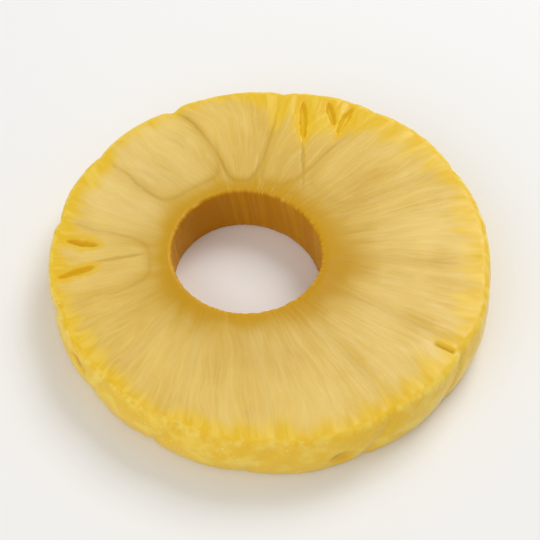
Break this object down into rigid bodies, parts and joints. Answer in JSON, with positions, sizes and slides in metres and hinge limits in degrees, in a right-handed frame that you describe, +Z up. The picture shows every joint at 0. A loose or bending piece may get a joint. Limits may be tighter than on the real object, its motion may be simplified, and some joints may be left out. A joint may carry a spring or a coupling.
{
  "type": "pineapple ring",
  "caption": "Fresh pineapple ring: a peeled, cored cross-cut slice with an off-centre round hole, scalloped edge, radial fibres and seed slits, lying on its flat cut underside.",
  "frame": {"origin": "on the flat cut underside, in the middle of the ring's outer box", "axes": "+Z up through the ring, from the underside to the shown face; +X away from the thin side of the flesh, so the off-centre hole lies towards -X"},
  "size_m": [0.097, 0.0954, 0.0132],
  "materials": {
    "flesh": "moist, slightly translucent pale yellow fruit flesh with fine radial fibres, deeper yellow at the edge and round the hole"
  },
  "bodies": {
    "root": {"pineapple_ring": "flesh"}
  },
  "joints": []
}
